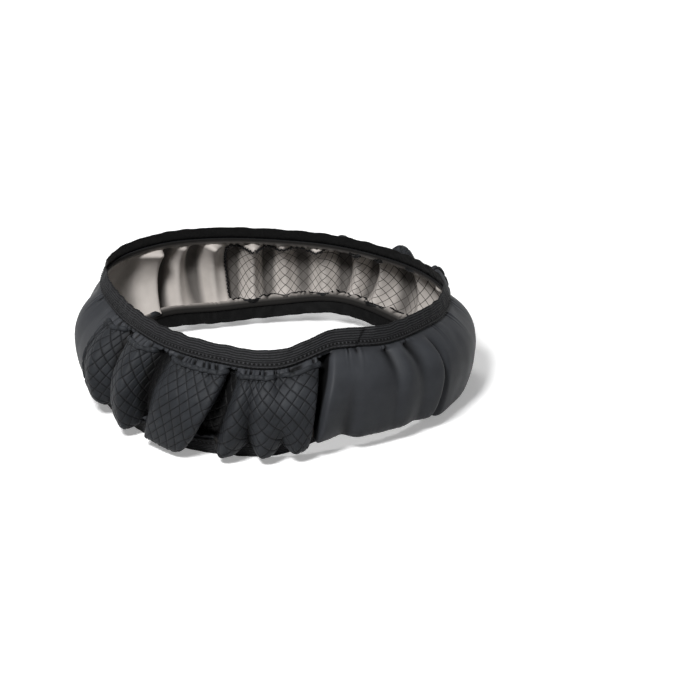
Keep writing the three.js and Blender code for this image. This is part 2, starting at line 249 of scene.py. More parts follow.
def band_point(u, t):
    """The middle of the band's thickness between its lips, with its large folds."""
    here, after, share = fold_pair(u)
    hold = smoothstep(np.minimum(t, 1 - t), 0, FOLD_FADE)
    before_depth, after_depth = through(DEPTHS[here], t), through(DEPTHS[after], t)
    rising = after_depth > before_depth
    round_top = np.where(rising, np.sin(share * math.pi / 2), 1 - np.cos(share * math.pi / 2))
    ease = PUCKER * round_top + (1 - PUCKER) * smoothstep(share, 0, 1)

    def blend(values):
        return values[here] + (values[after] - values[here]) * ease

    out = hold * (before_depth + (after_depth - before_depth) * ease)
    up = blend(RISES) * towards_top(t) - SAG * blend(HANGS) * towards_top(1 - t)
    angle = angle_at(u, t)
    top = on_elastic(top_edge(angle), DOWN, ELASTIC_WIDTH + LIP, BEHIND_ELASTIC)
    bottom = on_elastic(bottom_edge(angle), UP, ELASTIC_WIDTH + LIP, BEHIND_ELASTIC)
    swell = BULGE * np.sin(math.pi * np.clip(t, 0, 1)) ** 0.75
    radius = top[0] + (bottom[0] - top[0]) * t + swell + out
    height = top[1] + (bottom[1] - top[1]) * t + up
    return place(angle, radius, height, hold * blend(LEANS))


# The grid of the band

STATIONS = 1180
ROWS = 36

FOLD_MARKS = np.concatenate([[0], np.cumsum(np.mod(np.roll(LINES[:, 1], -1) - LINES[:, 1], 360))])
FRONT_DEGREES = FOLD_MARKS[FRONT_ENDS[1]]
DEGREES = np.linspace(0, 360, 3601)


def station_shares():
    """The share of the stations passed at each of DEGREES, with more of them across the front pad."""
    extra, margin = 1.4, 6
    dense = 1 - smoothstep(DEGREES, FRONT_DEGREES, FRONT_DEGREES + margin)
    steps = 1 + extra * (dense[1:] + dense[:-1]) / 2
    shares = np.concatenate([[0], np.cumsum(steps)])
    return shares / shares[-1]


SHARES = station_shares()


def fold_positions():
    """The fold position u of each station."""
    degrees = np.interp(np.arange(STATIONS) / STATIONS, SHARES, DEGREES)
    return np.interp(degrees, FOLD_MARKS, np.arange(len(FOLDS) + 1))


def station_index(u):
    """The fractional station number of a fold position u."""
    degrees = np.interp(u, np.arange(len(FOLDS) + 1), FOLD_MARKS)
    return np.interp(degrees, DEGREES, SHARES) * STATIONS


def normals_of(grid):
    """Unit outward normals of a ring of points grid[station, row]."""
    round_ring = np.roll(grid, -1, 0) - np.roll(grid, 1, 0)
    down = np.gradient(grid, axis=1)
    n = np.cross(down, round_ring)
    return n / np.linalg.norm(n, axis=-1, keepdims=True)


def soft_noise(a, t, seed, scale, tall=1.0):
    """Smooth noise that closes round the ring, about -1 to 1, from a fixed set of waves."""
    waves = 24
    rng = np.random.default_rng(seed)
    total = np.zeros(np.broadcast(a, t).shape)
    for _ in range(waves):
        turns = rng.integers(int(scale * 0.5), int(scale * 1.6) + 1)
        rise = rng.normal(0, tall * 5)
        total += np.cos(np.radians(a) * turns + rise * t + rng.uniform(0, 2 * math.pi))
    return total / math.sqrt(waves / 2)


def softened(grid, times):
    """A ring grid with its sharpest turns round the ring eased off."""
    for _ in range(times):
        grid = (np.roll(grid, 1, 0) + 2 * grid + np.roll(grid, -1, 0)) / 4
    return grid


def in_pads(u):
    """1 where a pad covers the band, 0 elsewhere, with soft ends."""
    def past(fold):
        return smoothstep(u, fold - 0.15, fold + 0.15)

    total = past(len(FOLDS))
    for first, last in (FRONT_ENDS, BACK_ENDS):
        total = total + past(first) * (1 - past(last))
    return np.clip(total, 0, 1)


def ruffle(a, count, seed):
    """Narrow gathers round the ring, -1 in their hollows and 1 on their broad crests."""
    phase = np.radians(a) * count / 2 + 1.1 * soft_noise(a, 0 * a, seed, 30)
    return 1 - 2 * np.abs(np.cos(phase)) ** 3


GATHER_DEPTH = 1.5
CREASE_DEPTH = 0.3
TOP_GATHERS, BOTTOM_GATHERS = 132, 126  # round the ring
GATHER_LEAN = 0.012  # degrees for each millimetre away from the lip


def fine_gathers(u, v, total):
    """Small gathers, v millimetres of cloth below the top lip, that die out down the band."""
    a = angle_at(u, 0.5)
    padded = in_pads(u)
    result = 0
    for seed, count, away in ((3, TOP_GATHERS, v), (4, BOTTOM_GATHERS, total - v)):
        strength = padded + (1 - padded) * 0.5 * np.clip(soft_noise(a, 0 * v, seed + 5, 26), 0, 1.2)
        uneven = 0.75 + 0.35 * soft_noise(a, 0 * v, seed + 9, 70)
        reach = smoothstep(away, 0, 1.6) * np.exp(-np.maximum(away - 4.5, 0) / 6)
        ruffles = ruffle(a + GATHER_LEAN * away, count, seed)
        result = result + GATHER_DEPTH * strength * uneven * ruffles * reach
    middle = smoothstep(np.minimum(v, total - v), 4, 18)
    creases = CREASE_DEPTH * soft_noise(a, v / total, 5, 34, 1.5) * middle
    return result + creases * (0.25 + 0.75 * padded)


# The stations' places among the folds, and the rows' places down the band, closer at the lips.
U = fold_positions()[:, None]
T = (0.5 - 0.25 * np.cos(np.linspace(0, math.pi, ROWS)) - 0.25 * np.linspace(1, -1, ROWS))[None, :]
FOLDED = softened(band_point(U + 0 * T, T + 0 * U), 4)
NORMALS = normals_of(softened(FOLDED, 6))
ROW_LENGTH = np.concatenate([[0], np.cumsum(np.linalg.norm(np.diff(FOLDED, axis=1), axis=-1).mean(0))])


def height_over_neighbours(grid, reach):
    """How far each point of a ring grid stands out beyond the mean of those within reach degrees."""
    radius = np.hypot(grid[..., 0], grid[..., 1])
    degrees = np.interp(np.arange(STATIONS) / STATIONS, SHARES, DEGREES)
    apart = np.abs(degrees[:, None] - degrees[None, :])
    weights = np.exp(-(np.minimum(apart, 360 - apart) / reach) ** 2)
    weights *= np.gradient(degrees)[None, :]
    return radius - weights @ radius / weights.sum(1, keepdims=True)


FOLD_REACH = 7.0  # degrees
SHARP = 5  # millimetres over or under its neighbours at which a fold turns at its sharpest
THINNED = 0.85  # how much of the gathers and of the cloth's thickness a sharp fold takes up

STANDING = height_over_neighbours(FOLDED, FOLD_REACH)
HOLLOW, RIDGE = (np.clip(way * STANDING / SHARP, 0, 1) for way in (-1, 1))
GATHERS = fine_gathers(U, ROW_LENGTH[None, :], ROW_LENGTH[-1]) * (1 - THINNED * HOLLOW)
SURFACE = FOLDED + NORMALS * GATHERS[..., None]


def painted_fold_shades():
    """The painted shade of the outside and the lining in the hollows of the folds and gathers, 0 to 1.
    """
    strip, fade, full_dark = 4, 2.5, 4.5  # millimetres; gathers are shaded in the strips at the lips
    from_lip = np.minimum(ROW_LENGTH, ROW_LENGTH[-1] - ROW_LENGTH)[None, :]
    in_strip = np.exp(-(np.maximum(from_lip - strip, 0) / fade) ** 2)
    outside = smoothstep(-STANDING, 0, full_dark) + np.clip((0.1 - GATHERS) / 0.8, 0, 1) * in_strip
    inside = np.clip((STANDING - 0.5) / 5, 0, 0.8) + np.clip((GATHERS - 0.3) / 0.8, 0, 1) * in_strip
    return np.clip(outside, 0, 1), np.clip(inside, 0, 0.9)


SHADE_OUT, SHADE_IN = painted_fold_shades()


def sample(grid, u_index, row_index):
    """Bilinear samples of a ring grid at fractional station and row numbers."""
    i = np.floor(u_index).astype(int)
    j = np.clip(np.floor(row_index).astype(int), 0, ROWS - 2)
    f, g = u_index - i, row_index - j
    if grid.ndim == 3:
        f, g = f[..., None], g[..., None]
    i0, i1 = i % STATIONS, (i + 1) % STATIONS
    return (grid[i0, j] * (1 - f) * (1 - g) + grid[i1, j] * f * (1 - g)
            + grid[i0, j + 1] * (1 - f) * g + grid[i1, j + 1] * f * g)


# Meshes

def ring_centre():
    """Where the ring's own centre lies in the row frame, from the top elastic's box."""
    low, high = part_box("elastic_top")
    angles = np.linspace(0, 360, 3600, endpoint=False)
    edge = top_edge(angles)
    reach = [on_elastic(edge, DOWN, ELASTIC_WIDTH, ELASTIC_THICKNESS / 2),
             on_elastic(edge, DOWN, 0, ELASTIC_THICKNESS / 2)]
    points = np.concatenate([place(angles, *r) for r in reach]) * MM
    own = (points.min(0) + points.max(0)) / 2
    return np.array([(low[0] + high[0]) / 2 - own[0], (low[1] + high[1]) / 2 - own[1], 0])


CENTRE = ring_centre()


def mesh_piece(name, points, faces, materials, face_materials=None):
    """A mesh object from points in millimetres about the ring's centre, riding on the frame."""
    mesh = bpy.data.meshes.new(name)
    mesh.from_pydata((np.asarray(points) * MM + CENTRE).tolist(), [], faces)
    for coat in materials:
        mesh.materials.append(coat)
    if face_materials is not None:
        mesh.polygons.foreach_set("material_index", np.asarray(face_materials, np.int32))
    mesh.polygons.foreach_set("use_smooth", np.full(len(mesh.polygons), True))
    mesh.update()
    piece = bpy.data.objects.new(name, mesh)
    bpy.context.scene.collection.objects.link(piece)
    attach(piece, BODY)
    return piece


def tube_faces(rings, sides, closed=True, first=0):
    """Quads between rings of points, each ring holding the same number of sides."""
    faces = []
    for i in range(rings if closed else rings - 1):
        a, b = first + i * sides, first + (i + 1) % rings * sides
        for j in range(sides):
            k = (j + 1) % sides
            faces.append((a + j, a + k, b + k, b + j))
    return faces


def add_values(mesh, name, values):
    mesh.attributes.new(name, "FLOAT", "POINT").data.foreach_set("value", np.ravel(values))


def set_cloth_uv(mesh, u, v, wrap=None):
    """A UV map from values at the vertices; the last faces of a ring run on past its start."""
    loops = np.zeros(len(mesh.loops), np.int32)
    mesh.loops.foreach_get("vertex_index", loops)
    uv = np.stack([u[loops], v[loops]], axis=-1)
    if wrap:
        starts = np.zeros(len(mesh.polygons), np.int32)
        totals = np.zeros(len(mesh.polygons), np.int32)
        mesh.polygons.foreach_get("loop_start", starts)
        mesh.polygons.foreach_get("loop_total", totals)
        face = np.repeat(np.arange(len(starts)), totals)
        highest = np.maximum.reduceat(uv[:, 0], starts)[face]
        uv[:, 0] = np.where(highest - uv[:, 0] > wrap / 2, uv[:, 0] + wrap, uv[:, 0])
    layer = mesh.uv_layers.new(name="cloth")
    layer.data.foreach_set("uv", uv.reshape(-1))


# Materials

GRAIN_SCALE = 1500
PRESSED_DARK = (0.002, 0.002, 0.0022)  # in the lines of the embossing
# Painted shade: the leatherette's colour in the hollows of the folds and gathers, and the lining's in
# its hollows and by the elastics.
PAINTED_HOLLOW_SHADE = (0.0012, 0.0012, 0.0013)  # in the hollows of the folds
PAINTED_LINING_SHADE = (0.005, 0.005, 0.005)
LATTICE_DARK = (0.055, 0.05, 0.046)
# Painted shade in the elastics' rib furrows and on their inner faces; the needle holes and the line at
# each join take this colour too.
PAINTED_FURROW_SHADE_AND_HOLES = (0.0015, 0.0015, 0.0016)
HOLE_PITCH = 3.3  # of the needle holes along an elastic
HOLE_PLACE = 0.75  # share of the elastic's width, from its free edge
HOLE_LENGTH, HOLE_WIDTH = 2.2, 1.6


def material(name, colour, roughness):
    made = bpy.data.materials.new(name)
    made.use_nodes = True
    shader = made.node_tree.nodes["Principled BSDF"]
    shader.inputs["Base Color"].default_value = (*colour, 1)
    shader.inputs["Roughness"].default_value = roughness
    return made, made.node_tree.nodes, made.node_tree.links, shader


def maths(nodes, links, operation, *values):
    made = nodes.new("ShaderNodeMath")
    made.operation = operation
    for n, value in enumerate(values):
        if isinstance(value, (int, float)):
            made.inputs[n].default_value = value
        else:
            links.new(value, made.inputs[n])
    return made.outputs[0]


def bump_from(nodes, links, height, distance, strength=1.0, under=None):
    bump = nodes.new("ShaderNodeBump")
    bump.inputs["Distance"].default_value = distance
    bump.inputs["Strength"].default_value = strength
    links.new(height, bump.inputs["Height"])
    if under is not None:
        links.new(under, bump.inputs["Normal"])
    return bump.outputs["Normal"]


def ramp(nodes, links, value, dark, light):
    made = nodes.new("ShaderNodeValToRGB")
    for stop, position, colour in zip(made.color_ramp.elements, (0.3, 0.7), (dark, light)):
        stop.position = position
        stop.color = (*colour, 1)
    links.new(value, made.inputs["Fac"])
    return made.outputs["Color"]


def mixed(nodes, links, factor, colour, other):
    mix = nodes.new("ShaderNodeMix")
    mix.data_type = "RGBA"
    links.new(factor, mix.inputs[0])
    links.new(colour, mix.inputs[6])
    mix.inputs[7].default_value = (*other, 1)
    return mix.outputs[2]


def noise(nodes, links, coordinates, scale, detail=3.0):
    made = nodes.new("ShaderNodeTexNoise")
    made.inputs["Scale"].default_value = scale
    made.inputs["Detail"].default_value = detail
    links.new(coordinates, made.inputs["Vector"])
    return made.outputs["Fac"]


def vertex_value(nodes, name):
    made = nodes.new("ShaderNodeAttribute")
    made.attribute_name = name
    return made.outputs["Fac"]


def painted_shade_factor(nodes, links, most):
    """The painted shade from the vertices: the hollows of the folds and gathers, and the lining by the
    elastics.
    """
    return maths(nodes, links, "MULTIPLY", vertex_value(nodes, "shade"), most)


def cloth_place(nodes, links):
    """The cloth's own coordinates, round the ring and across it."""
    uv = nodes.new("ShaderNodeUVMap")
    uv.uv_map = "cloth"
    split = nodes.new("ShaderNodeSeparateXYZ")
    links.new(uv.outputs["UV"], split.inputs[0])
    return split.outputs["X"], split.outputs["Y"]


def soft_step(nodes, links, value, low, high):
    """0 at low, 1 at high, and smooth between them."""
    made = nodes.new("ShaderNodeMapRange")
    made.interpolation_type = "SMOOTHSTEP"
    made.inputs["From Min"].default_value = low
    made.inputs["From Max"].default_value = high
    links.new(value, made.inputs["Value"])
    return made.outputs["Result"]


def leatherette(name, dark, light, roughness, incised=False):
    """Satin leatherette: a fine pebbled grain, faint mottling, uneven gloss and painted shade in the
    hollows of the folds.
    """
    made, nodes, links, shader = material(name, light, roughness)
    where = nodes.new("ShaderNodeTexCoord").outputs["Object"]
    cells = nodes.new("ShaderNodeTexVoronoi")
    cells.feature = "SMOOTH_F1"
    cells.inputs["Scale"].default_value = GRAIN_SCALE
    links.new(where, cells.inputs["Vector"])
    grain = bump_from(nodes, links, cells.outputs["Distance"], 0.00006, 0.6)
    links.new(bump_from(nodes, links, noise(nodes, links, where, 420), 0.00012, 0.5, grain),
              shader.inputs["Normal"])
    mottle = noise(nodes, links, where, 60, 4)
    colour = ramp(nodes, links, mottle, dark, light)
    # Painted shade in the hollows of the folds and gathers, from the vertices.
    colour = mixed(nodes, links, painted_shade_factor(nodes, links, 0.97), colour, PAINTED_HOLLOW_SHADE)
    if incised:
        colour = mixed(nodes, links, vertex_value(nodes, "incised"), colour, PRESSED_DARK)
    links.new(colour, shader.inputs["Base Color"])
    gloss = nodes.new("ShaderNodeMapRange")
    gloss.inputs["To Min"].default_value = roughness - 0.05
    gloss.inputs["To Max"].default_value = roughness + 0.07
    links.new(noise(nodes, links, where, 35, 2), gloss.inputs["Value"])
    links.new(gloss.outputs["Result"], shader.inputs["Roughness"])
    shader.inputs["Specular IOR Level"].default_value = 0.15
    return made


def lining_material():
    """The warm grey fabric backing, with the lattice pressed through it under the pads, and painted
    shade in its hollows and by the elastics.
    """
    made, nodes, links, shader = material("lining", (0.42, 0.385, 0.36), 0.9)
    where = nodes.new("ShaderNodeTexCoord").outputs["Object"]
    weave = noise(nodes, links, where, 1400, 2)
    links.new(bump_from(nodes, links, weave, 0.00015, 0.6), shader.inputs["Normal"])
    cloth = ramp(nodes, links, noise(nodes, links, where, 45, 5),
                 (0.42, 0.388, 0.362), (0.54, 0.502, 0.47))
    # Painted shade in the lining's hollows and by the elastics, from the vertices.
    cloth = mixed(nodes, links, painted_shade_factor(nodes, links, 0.98), cloth, PAINTED_LINING_SHADE)
    links.new(mixed(nodes, links, lattice_lines(nodes, links), cloth, LATTICE_DARK),
              shader.inputs["Base Color"])
    shader.inputs["Specular IOR Level"].default_value = 0.1
    return made


def lattice_lines(nodes, links):
    """1 on the lines of the lattice inside a pad's stitches, from the cloth's own coordinates."""
    round_it, down = cloth_place(nodes, links)
    off = [maths(nodes, links, "PINGPONG", maths(nodes, links, way, round_it, down), 0.5)
           for way in ("ADD", "SUBTRACT")]
    line = soft_step(nodes, links, maths(nodes, links, "MINIMUM", *off), 0.07, 0.02)
    return maths(nodes, links, "MULTIPLY", line, vertex_value(nodes, "padded"))


def webbing_material():
    """Matt black elastic: ribs lengthwise with painted shade in their furrows and on the inner face,
    and a row of needle holes near the sewn edge.
    """
    made, nodes, links, shader = material("webbing", (0.02, 0.02, 0.021), 0.7)
    round_it, across = cloth_place(nodes, links)
    offsets = ((maths(nodes, links, "PINGPONG", round_it, HOLE_PITCH / 2), HOLE_LENGTH / 2),
               (maths(nodes, links, "SUBTRACT", across, HOLE_PLACE * ELASTIC_WIDTH), HOLE_WIDTH / 2))
    shares = [maths(nodes, links, "DIVIDE", offset, half) for offset, half in offsets]
    squares = [maths(nodes, links, "MULTIPLY", share, share) for share in shares]
    away = maths(nodes, links, "SQRT", maths(nodes, links, "ADD", *squares))
    hole = soft_step(nodes, links, away, 1.25, 0.75)
    # Painted shade in the rib furrows and on the inner face comes from the vertices' groove values; the
    # needle holes are dark too.
    dark = maths(nodes, links, "MAXIMUM", vertex_value(nodes, "groove"), hole)
    where = nodes.new("ShaderNodeTexCoord").outputs["Object"]
    tone = ramp(nodes, links, noise(nodes, links, where, 900, 3),
                (0.022, 0.0224, 0.024), (0.042, 0.043, 0.046))
    links.new(mixed(nodes, links, dark, tone, PAINTED_FURROW_SHADE_AND_HOLES), shader.inputs["Base Color"])
    grain = bump_from(nodes, links, noise(nodes, links, where, 1500, 2), 0.00012, 0.6)
    level = maths(nodes, links, "SUBTRACT", 1.0, hole)
    links.new(bump_from(nodes, links, level, 0.0005, 0.8, grain), shader.inputs["Normal"])
    shader.inputs["Specular IOR Level"].default_value = 0.12
    return made


def thread_material():
    made, nodes, links, shader = material("thread", (0.005, 0.005, 0.0055), 0.6)
    shader.inputs["Specular IOR Level"].default_value = 0.25
    where = nodes.new("ShaderNodeTexCoord").outputs["Object"]
    links.new(bump_from(nodes, links, noise(nodes, links, where, 3000, 2), 0.0001, 0.6),
              shader.inputs["Normal"])
    return made


SMOOTH = leatherette("smooth_leatherette", (0.027, 0.0287, 0.0325), (0.035, 0.0372, 0.042), 0.55)
EMBOSSED = leatherette("embossed_leatherette", (0.013, 0.0142, 0.0164), (0.024, 0.0261, 0.0298), 0.6,
                       incised=True)
LINING = lining_material()
WEBBING = webbing_material()
THREAD = thread_material()


# The cloth's own coordinates

CELL_WIDTH, CELL_HEIGHT = 9.4, 11.4  # the diamonds of the lattice, across and down
LATTICE_INSET = 6.0  # of the lattice that shows on the lining, from the pad's edge
PAD_ROWS = (HEM_T, 1 - HEM_T)


def station_lengths():
    """Cumulative length round the band at each station, averaged over its middle rows."""
    middle = SURFACE[:, int(ROWS * 0.3):int(ROWS * 0.7)]
    steps = np.linalg.norm(np.roll(middle, -1, 0) - middle, axis=-1).mean(1)
    return np.concatenate([[0], np.cumsum(steps)])


STATION_LENGTH = station_lengths()


def pad_frame(ends):
    """The pad's rectangle in millimetres of cloth: left, right, top, bottom."""
    left, right = (float(np.interp(station_index(x), np.arange(STATIONS + 1), STATION_LENGTH))
                   for x in ends)
    top, bottom = np.interp(PAD_ROWS, T[0], ROW_LENGTH)
    return left, right, top, bottom


def inset_by(inset, left, right, top, bottom):
    return left + inset, right - inset, top + inset, bottom - inset


def on_cloth(places, *grids):
    """What ring grids hold at places on the cloth, given in millimetres round it and down it."""
    station = np.interp(places[:, 0], STATION_LENGTH, np.arange(STATIONS + 1))
    row = np.interp(places[:, 1], ROW_LENGTH, np.arange(ROWS))
    return [sample(grid, station, row) for grid in grids]


def band():
    """The ring of leatherette with its fabric backing, and its edges behind the elastics."""
    half = BAND_THICKNESS / 2
    # In the sharpest turns the cloth is thinner on the side where it would meet itself.
    outer = SURFACE + NORMALS * (half * (1 - THINNED * HOLLOW))[..., None]
    inner = SURFACE - NORMALS * (half * (1 - THINNED * RIDGE))[..., None]
    laps = (ELASTIC_WIDTH - SEAM_LAP, ELASTIC_WIDTH - SEAM_LAP / 2, ELASTIC_WIDTH)

    def lap(edge_of, way, t, side):
        angle = angle_at(U[:, 0], np.full(STATIONS, t))
        return [place(angle, *on_elastic(edge_of(angle), way, along, BEHIND_ELASTIC + side))
                for along in laps]

    def layer(middle, side):
        top = lap(top_edge, DOWN, 0.0, side)
        bottom = lap(bottom_edge, UP, 1.0, side)[::-1]
        return np.concatenate([np.stack(top, 1), middle, np.stack(bottom, 1)], axis=1)

    outer, inner = layer(outer, half), layer(inner, -half)
    rows = outer.shape[1]
    # Each ring of points goes down the outside and back up the inside.
    rings = np.concatenate([outer, inner[:, ::-1]], axis=1)
    faces = tube_faces(STATIONS, 2 * rows)
    lining_faces = np.tile([0] * rows + [1] * (rows - 1) + [0], STATIONS)
    piece = mesh_piece("band_cover", rings.reshape(-1, 3), faces, [SMOOTH, LINING],
                       lining_faces)
    mesh = piece.data
    down = np.pad(ROW_LENGTH, len(laps), mode="edge")
    v_mm = np.tile(np.concatenate([down, down[::-1]]), STATIONS)
    u_mm = np.repeat(STATION_LENGTH[:-1], 2 * rows)
    padded = np.zeros(len(u_mm))
    for ends in (FRONT_ENDS, BACK_ENDS):
        low, high, top, bottom = inset_by(LATTICE_INSET, *pad_frame(ends))
        padded += (u_mm > low) & (u_mm < high) & (v_mm > top) & (v_mm < bottom)
    add_values(mesh, "padded", padded)
    # Painted shade for the outside and the lining, from the folds and gathers, held level across the
    # laps.
    lap_rows = ((0, 0), (len(laps), len(laps)))
    outside, inside = (np.pad(grid, lap_rows, mode="edge") for grid in (SHADE_OUT, SHADE_IN))
    # The painted shade darkens the lining at the elastics, and at the foot of the front pad's hanging
    # folds.
    inside[:, :5] = np.maximum(inside[:, :5], [1, 1, 0.9, 0.5, 0.2])
    inside[:, -6:] = np.maximum(inside[:, -6:], [0.15, 0.5, 0.9, 1, 1, 1])
    inside[U[:, 0] < FRONT_ENDS[1], -10:] = 1
    add_values(mesh, "shade", np.concatenate([outside, inside[:, ::-1]], axis=1))
    set_cloth_uv(mesh, u_mm / CELL_WIDTH, v_mm / CELL_HEIGHT, STATION_LENGTH[-1] / CELL_WIDTH)
    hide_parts("band")


# The pads

LATTICE_SAMPLES = (0, 0.035, 0.08, 0.2, 0.35, 0.5, 0.65, 0.8, 0.92, 0.965)
GROOVE_DEPTH = 0.5
GROOVE_REACH = 0.048  # share of a diamond
PILLOW = 0.15
SLIVER = 0.01  # square millimetres


def pad(name, ends, node_name):
    """An embossed pad, its mesh laid along the lines of the lattice."""
    inset = HEM_WIDTH / 2
    left, right, top, bottom = inset_by(inset, *pad_frame(ends))
    width, height = right - left, bottom - top
    down_cells = height / CELL_HEIGHT
    cells = math.ceil(width / CELL_WIDTH + down_cells) + 1
    steps = np.array([c + s for c in range(cells + 1) for s in LATTICE_SAMPLES])
    fractions = np.tile(LATTICE_SAMPLES, cells + 1)
    # Along p the lines run down to the right, along q they run up to the right.
    p = steps[:, None]
    q = steps[None, :] - (math.floor(down_cells) + 1)
    along = (p + q) * CELL_WIDTH / 2
    down = (p - q) * CELL_HEIGHT / 2
    count = len(steps)
    edge = np.minimum(fractions, 1 - fractions)
    nearest = np.minimum(edge[:, None], edge[None, :])
    groove = np.exp(-(nearest / GROOVE_REACH) ** 2)
    crown = np.sin(math.pi * fractions) ** 0.5
    lift = PILLOW * crown[:, None] * crown[None, :] - GROOVE_DEPTH * groove
    i, j = np.meshgrid(np.arange(count - 1), np.arange(count - 1), indexing="ij")
    quads = np.stack([i * count + j, (i + 1) * count + j, (i + 1) * count + j + 1, i * count + j + 1],
                     axis=-1).reshape(-1, 4)
    flat = np.stack([np.clip(along, 0, width), np.clip(down, 0, height)], axis=-1).reshape(-1, 2)
    a, b, c, d = (flat[quads[:, n]] for n in range(4))
    area = np.abs((c - a)[:, 0] * (d - b)[:, 1] - (c - a)[:, 1] * (d - b)[:, 0]) / 2
    quads = quads[area > SLIVER]
    used, quads = np.unique(quads, return_inverse=True)
    quads = quads.reshape(-1, 4)
    flat = flat[used]
    lift, groove = lift.reshape(-1)[used], groove.reshape(-1)[used]
    points, normals, shade = on_cloth(flat + (left, top), SURFACE, NORMALS, SHADE_OUT)
    base = BAND_THICKNESS / 2 + LAYER_GAP
    outer = points + normals * (base + PAD_THICKNESS + lift)[:, None]
    inner = points + normals * base
    n = len(flat)
    # The outer faces look out, the inner ones in, and the rim joins them.
    edges = dict.fromkeys((quad[k], quad[(k + 1) % 4]) for quad in quads for k in range(4))
    rim = [(b, a, a + n, b + n) for a, b in edges if (b, a) not in edges]
    faces = quads.tolist() + (quads[:, ::-1] + n).tolist() + rim
    piece = mesh_piece(name, np.concatenate([outer, inner]), faces, [EMBOSSED])
    add_values(piece.data, "incised", np.concatenate([groove, np.zeros(n)]))
    # Painted shade from the band's fold hollows, on both faces of the pad.
    add_values(piece.data, "shade", np.concatenate([shade, shade]))
    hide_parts(node_name)
    return piece, inset_by(-inset, left, right, top, bottom)


def rectangle_path(frame_mm, inset, corner, step):
    """Points round an inset rectangle with round corners, evenly spaced, as (u, v)."""
    left, right, top, bottom = inset_by(inset, *frame_mm)
    corners = [(left + corner, top + corner, 180), (right - corner, top + corner, 270),
               (right - corner, bottom - corner, 0), (left + corner, bottom - corner, 90)]
    points = []
    for x, y, start in corners:
        for turn in np.radians(np.linspace(start, start + 90, 9)):
            points.append((x + corner * math.cos(turn), y + corner * math.sin(turn)))
    points = np.array(points + points[:1])
    along = np.concatenate([[0], np.cumsum(np.linalg.norm(np.diff(points, axis=0), axis=1))])
    count = int(round(along[-1] / step))
    at = np.arange(count) / count * along[-1]
    return np.stack([np.interp(at, along, points[:, k]) for k in (0, 1)], axis=-1)


def even_path(frame_mm, inset, step):
    """An inset rectangle's points, cut to an even number."""
    path = rectangle_path(frame_mm, inset, corner=2.0, step=step)
    return path[:len(path) // 2 * 2]


def path_frame(path):
    """Points, normals and sideways directions along a closed path on the cloth."""
    points, normals = on_cloth(path, SURFACE, NORMALS)
    forward = np.roll(points, -1, 0) - np.roll(points, 1, 0)
    forward /= np.linalg.norm(forward, axis=1, keepdims=True)
    side = np.cross(normals, forward)
    side /= np.linalg.norm(side, axis=1, keepdims=True)
    return points, np.cross(forward, side), side


STITCH_PITCH = 3.4
STITCH_LENGTH = 0.62  # share of the pitch, along an elastic
ZIGZAG_PITCH = 1.9
ZIGZAG_WIDTH = 3.8
ZIGZAG_INSET = 4.2


PUCKER_STEPS = (6, 13)
PUCKER_REACH = 0.9


def hem(name, frame_mm):
    """The pad's rolled hem: a soft tube, flat below, full between its puckers."""
    path = rectangle_path(frame_mm, HEM_WIDTH / 2, corner=3.0, step=0.8)
    points, normals, side = path_frame(path)
    along = np.concatenate([[0], np.cumsum(np.linalg.norm(np.diff(path, axis=0), axis=1))])
    rng = np.random.default_rng(17)
    marks = np.cumsum(rng.uniform(*PUCKER_STEPS, 2 * int(along[-1] / 8)))
    near = np.abs(along[:, None] - marks[None, :]).min(1)
    pucker = np.exp(-(near / PUCKER_REACH) ** 2)
    hollow, = on_cloth(path, HOLLOW)
    full = (1 - 0.3 * pucker) * (1 - 0.7 * hollow)
    turns = np.radians(np.linspace(-30, 210, 13))
    across = np.cos(turns) * HEM_WIDTH / 2
    height = (np.sin(turns) + 0.5) / 1.5 * HEM_HEIGHT
    lift = BAND_THICKNESS / 2 + height[None, :] * full[:, None]
    rings = (points[:, None] + side[:, None] * across[None, :, None] * (0.5 + 0.5 * full)[:, None, None]
             + normals[:, None] * lift[..., None])
    faces = tube_faces(len(points), len(turns))
    piece = mesh_piece(name, rings.reshape(-1, 3), faces, [EMBOSSED])
    # Painted shade in the folds' hollows, at the puckers and along the underside of the roll.
    shade = np.maximum(hollow, 0.5 * pucker)[:, None]
    add_values(piece.data, "shade", np.maximum(shade, 0.8 * (np.sin(turns) < 0.2)[None, :]))
    return piece


def stitch_mesh(starts, ends, normals, radius, arch):
    """Points and faces of many stitches, each a small bead of thread with sunken ends."""
    sides, rings = 5, 7
    s = np.linspace(0, 1, rings)
    rise = np.sin(math.pi * s) ** 0.6 * arch
    swell = np.array([0.35, 0.85, 1, 1, 1, 0.85, 0.35]) * radius
    turn = np.arange(sides) / sides * 2 * math.pi
    along = ends - starts
    forward = along / np.linalg.norm(along, axis=1, keepdims=True)
    side = np.cross(normals, forward)
    side /= np.linalg.norm(side, axis=1, keepdims=True)
    up = np.cross(forward, side)
    middle = starts[:, None] + along[:, None] * s[None, :, None] + up[:, None] * rise[None, :, None]
    ring = (side[:, None] * np.cos(turn)[None, :, None] + up[:, None] * np.sin(turn)[None, :, None])
    points = middle[:, :, None] + ring[:, None] * swell[None, :, None, None]
    faces = []
    for k in range(len(starts)):
        first = k * sides * rings
        faces += tube_faces(rings, sides, False, first)
        faces.append(tuple(first + n for n in range(sides))[::-1])
        faces.append(tuple(first + (rings - 1) * sides + n for n in range(sides)))
    return points.reshape(-1, 3), faces


def topstitch(name, frame_mm, inset, lift):
    """The row of stitches just inside a pad's hem."""
    path = even_path(frame_mm, inset, STITCH_PITCH / 2)
    points, normals, _ = path_frame(path)
    starts, ends = points[0::2], points[1::2]
    ups = normals[0::2]
    points, faces = stitch_mesh(starts + ups * lift, ends + normals[1::2] * lift, ups,
                                radius=0.3, arch=0.35)
    return mesh_piece(name, points, faces, [THREAD])


